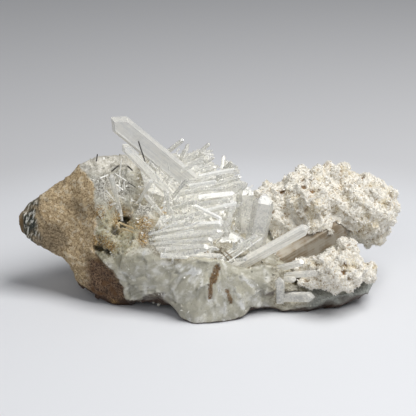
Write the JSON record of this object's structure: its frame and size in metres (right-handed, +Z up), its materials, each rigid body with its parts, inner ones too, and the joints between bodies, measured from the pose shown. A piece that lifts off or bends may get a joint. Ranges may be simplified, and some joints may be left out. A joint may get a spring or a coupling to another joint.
{
  "type": "quartz on albite mineral specimen",
  "caption": "Hand specimen of clear quartz crystals fanning out of a rock matrix, with knobbly white bladed albite growths on one side.",
  "frame": {"origin": "middle of the underside of the bounding box, on the surface the specimen rests on", "axes": "+X along its length, towards the albite growths; +Y away from the side that shows the crystals; +Z up"},
  "size_m": [0.2578, 0.1048, 0.1246],
  "materials": {
    "matrix_rock": "rough granular tan rock that passes into pale massive albite",
    "bladed_albite": "matt white sugary bladed albite",
    "clear_quartz": "clear to milky, bright crystal faces",
    "smoky_quartz": "brownish smoky quartz, striated"
  },
  "bodies": {
    "root": {"matrix": "matrix_rock", "albite_growth_upper": "bladed_albite", "albite_growth_lower": "bladed_albite", "quartz_cluster": "clear_quartz", "quartz_tall_left": "clear_quartz", "quartz_tall_companion": "clear_quartz", "quartz_upright_left": "clear_quartz", "quartz_sword_left": "clear_quartz", "quartz_long_right": "clear_quartz", "quartz_low_right": "clear_quartz", "quartz_stub_low": "clear_quartz", "quartz_smoky_right": "smoky_quartz"}
  },
  "joints": []
}
